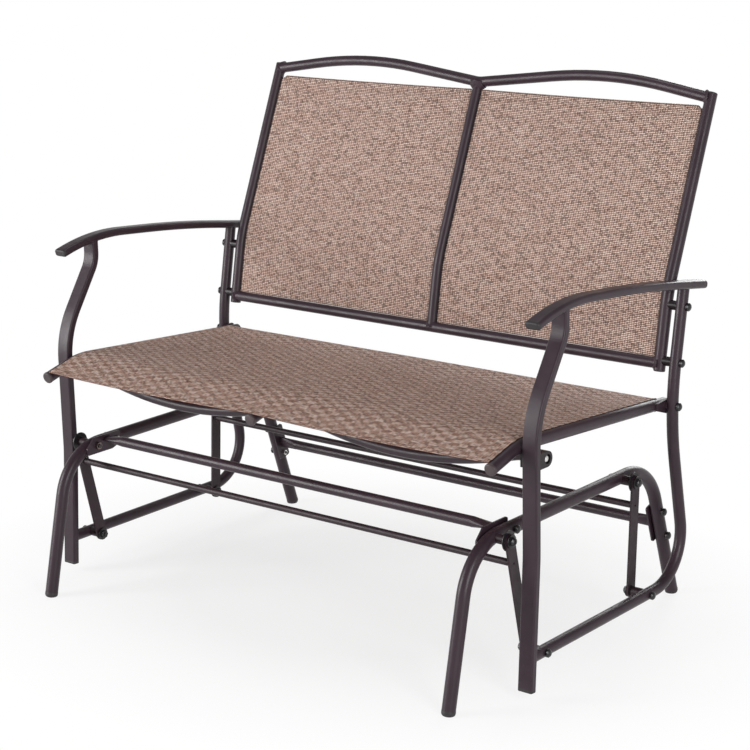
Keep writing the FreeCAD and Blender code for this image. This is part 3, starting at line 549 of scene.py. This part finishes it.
# Slot lips on the side tubes: the folded steel edge that the seat cloth's welt slides under.
# Their coat is darker than the frame's: painted shade where the cloth goes into the slots.
shade_lip_coat = powder_coat("painted_shade_slot_lip_coat", (0.016, 0.011, 0.014), (0.5, 0.62))
lip_along = np.linspace(0.0015, seat_surface.length - 0.034, 130)
for side, name in ((-1, "left"), (1, "right")):
    carried_round("seat_slot_lip_" + name, seat_surface, lip_along, np.full(130, side * (seat_edge + 0.0011)),
                  -0.0002, 0.0008, shade_lip_coat)


# Back slings: two panels of the same cloth, slid into the slots of the side rails and of the
# middle tube. The top edge is folded back and stitched, and its outer corner is cut off slanting.
# The back copy's tone in its bound blocks is only a little below white: painted shade, lighter than on the
# seat.
back_cloth = sling_weave("back_sling_weave", (0.96, 0.93, 0.92), 0.22)
back_inner = centre_radius + cloth_gap
back_outer = back_x - tube_radius - cloth_gap


def back_lift(along, x):
    """The panel bellies backwards between its rails, as a parabola."""
    share = (np.abs(x) - back_inner) / (back_outer - back_inner)
    return -sag * 4 * share * (1 - share)


back_surface = Surface(back_corners, [0.300], back_lift)
back_low = bottom_rise + cross_radius + cloth_gap
back_high = back_surface.length - 0.016
corner_cut = 0.013
corner_fall = 0.011


def back_top_edge(x):
    """The top edge falls by corner_fall over the last corner_cut before the side rail, by the power
    1.5 of the way along it."""
    share = np.clip((np.abs(x) - (back_outer - corner_cut)) / corner_cut, 0, 1)
    return back_high - corner_fall * share ** 1.5


hem_turn = 0.0013
for side, name in ((-1, "left"), (1, "right")):
    panel_xs = side * np.concatenate([np.linspace(back_inner, back_outer - corner_cut, 90),
                                      np.linspace(back_outer - corner_cut, back_outer, 10)[1:]])
    panel_xs = np.sort(panel_xs)
    panel = stretched_cloth("back_sling_cloth_" + name, back_surface, panel_xs, lambda x: back_low + 0 * x,
                            back_top_edge, cloth_thick, 130, back_cloth)
    hem_xs = panel_xs[(np.abs(panel_xs) > back_inner + 0.003) & (np.abs(panel_xs) < back_outer - 0.004)]
    turn = np.linspace(-0.5 * math.pi, 0.5 * math.pi, 9)
    hem_down = np.concatenate([[0.024, 0.018, 0.012, 0.006, 0.0025], -np.cos(turn) * 0.9 * hem_turn])
    hem_out = np.concatenate([np.full(5, -hem_turn), np.sin(turn) * hem_turn])
    hem_places = back_surface.at(back_top_edge(hem_xs)[None, :] - hem_down[:, None], hem_xs[None, :],
                                 hem_out[:, None] - hem_turn)
    hem_uv = np.stack(np.broadcast_arrays(hem_xs[None, :], 0.9 + np.linspace(0, 0.032, len(hem_down))[:, None]),
                      axis=-1)
    hem = make_piece("back_hem_" + name, hem_places, grid_faces(len(hem_down), len(hem_xs)), back_cloth, "seat",
                     hem_uv)
    hem_wall = hem.modifiers.new("thickness", "SOLIDIFY")
    hem_wall.thickness = 0.0009
    hem_wall.offset = 0.0
    stitch_xs = np.arange(back_inner + 0.006, back_outer - corner_cut, 0.0042) * side
    stitches = [stitch_row("back_hem_stitches_%s_%d" % (name, i), back_surface, back_high - down, stitch_xs,
                           cloth_thick / 2 + 0.0002) for i, down in enumerate((0.014, 0.020))]
    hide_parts("back_sling_" + name)
    rail_along = np.linspace(back_low + 0.001, back_surface.length - 0.018, 120)
    # The back slot lips take the same darker coat: painted shade along the cloth's edges in the slots.
    for place, x in (("outer", back_outer - 0.0004), ("inner", back_inner + 0.0004)):
        for face, away in (("front", -0.0018), ("rear", 0.0018)):
            carried_round("back_slot_lip_%s_%s_%s" % (name, place, face), back_surface, rail_along,
                          np.full(120, side * x), away, 0.0010, shade_lip_coat)


# Studio: a pale floor, white surroundings and soft lamps, seen from the front right.
def floor_finish(name):
    """Pale floor that keeps the bench's shadow near it and goes to plain white further out."""
    floor = Finish(name)
    oval = floor.node("ShaderNodeVectorMath", settings={"operation": "MULTIPLY"}, i0=floor.object_place(),
                      i1=(0.75, 0.95, 1.0))
    reach = floor.node("ShaderNodeVectorMath", output=1, settings={"operation": "LENGTH"}, i0=oval)
    plain = floor.ramp(reach, [(0.30, 0.66), (0.72, 1.0)])
    rays = floor.node("ShaderNodeLightPath").node
    seen = floor.calc("MAXIMUM", rays.outputs["Is Camera Ray"], rays.outputs["Is Glossy Ray"])
    seen = floor.calc("MAXIMUM", seen, rays.outputs["Is Transmission Ray"])
    glow = floor.node("ShaderNodeEmission", Color=(1.0, 1.0, 1.0, 1.0), Strength=1.0)
    mix = floor.node("ShaderNodeMixShader", Fac=floor.calc("MULTIPLY", seen, plain), i1=floor.shader.outputs[0],
                     i2=glow)
    floor.tree.links.new(mix, floor.tree.nodes["Material Output"].inputs["Surface"])
    return floor.set(Base_Color=(0.86, 0.86, 0.86, 1.0), Roughness=0.7)


half = 14.0
floor_mesh = bpy.data.meshes.new("floor")
floor_mesh.from_pydata([(-half, -half, 0), (half, -half, 0), (half, half, 0), (-half, half, 0)], [],
                       [(0, 1, 2, 3)])
floor_mesh.materials.append(floor_finish("pale_floor"))
floor = bpy.data.objects.new("floor", floor_mesh)
bpy.context.scene.collection.objects.link(floor)

world = bpy.data.worlds.new("studio")
bpy.context.scene.world = world
world.use_nodes = True
tree = world.node_tree
background = tree.nodes["Background"]
background.inputs["Color"].default_value = (1.0, 1.0, 1.0, 1.0)
paths = tree.nodes.new("ShaderNodeLightPath")
reflected = tree.nodes.new("ShaderNodeMath")
reflected.operation = "MAXIMUM"
tree.links.new(paths.outputs["Is Glossy Ray"], reflected.inputs[0])
tree.links.new(paths.outputs["Is Transmission Ray"], reflected.inputs[1])
direction = tree.nodes.new("ShaderNodeTexCoord")
upward = tree.nodes.new("ShaderNodeSeparateXYZ")
tree.links.new(direction.outputs["Generated"], upward.inputs[0])
wall = tree.nodes.new("ShaderNodeMapRange")
tree.links.new(upward.outputs["Z"], wall.inputs["Value"])
wall.inputs["From Min"].default_value = 0.12
wall.inputs["From Max"].default_value = 0.55
wall.inputs["To Min"].default_value = 1.0
wall.inputs["To Max"].default_value = 0.25
mirrored = tree.nodes.new("ShaderNodeMix")
tree.links.new(reflected.outputs[0], mirrored.inputs[0])
mirrored.inputs[2].default_value = 0.30
tree.links.new(wall.outputs[0], mirrored.inputs[3])
strength = tree.nodes.new("ShaderNodeMix")
tree.links.new(paths.outputs["Is Camera Ray"], strength.inputs[0])
tree.links.new(mirrored.outputs[0], strength.inputs[2])
strength.inputs[3].default_value = 1.0
tree.links.new(strength.outputs[0], background.inputs["Strength"])


def soft_lamp(name, place, target, wide, tall, power):
    """A soft box, wide across and tall up, that faces its target."""
    data = bpy.data.lights.new(name, "AREA")
    data.shape = "RECTANGLE"
    data.size = wide
    data.size_y = tall
    data.energy = power
    lamp = bpy.data.objects.new(name, data)
    toward = Vector(target) - Vector(place)
    lamp.matrix_world = Matrix.Translation(place) @ toward.to_track_quat("-Z", "Y").to_matrix().to_4x4()
    bpy.context.scene.collection.objects.link(lamp)


soft_lamp("left_front", (-2.7, -3.1, 1.45), (0.0, 0.0, 0.6), 1.6, 2.3, 140.0)
soft_lamp("right", (3.3, -1.7, 1.5), (0.0, 0.0, 0.5), 1.2, 2.0, 72.0)
soft_lamp("top", (-0.4, 0.6, 3.4), (0.0, 0.0, 0.4), 1.2, 1.2, 14.0)
soft_lamp("behind", (-0.8, 4.2, 1.9), (0.0, 0.0, 0.6), 1.8, 2.0, 62.0)

camera_data = bpy.data.cameras.new("camera")
camera_data.sensor_width = 36.0
camera_data.lens = 100.22
camera_data.clip_end = 60.0
camera = bpy.data.objects.new("camera", camera_data)
camera.matrix_world = (Matrix.Translation((2.4654, -2.9853 - drawing_back, 1.4538))
                       @ Matrix.Rotation(math.radians(38.97), 4, "Z")
                       @ Matrix.Rotation(math.radians(90.0 - 14.61), 4, "X")
                       @ Matrix.Rotation(math.radians(-1.228), 4, "Z"))
bpy.context.scene.collection.objects.link(camera)
bpy.context.scene.camera = camera
bpy.context.scene.view_settings.view_transform = "Standard"
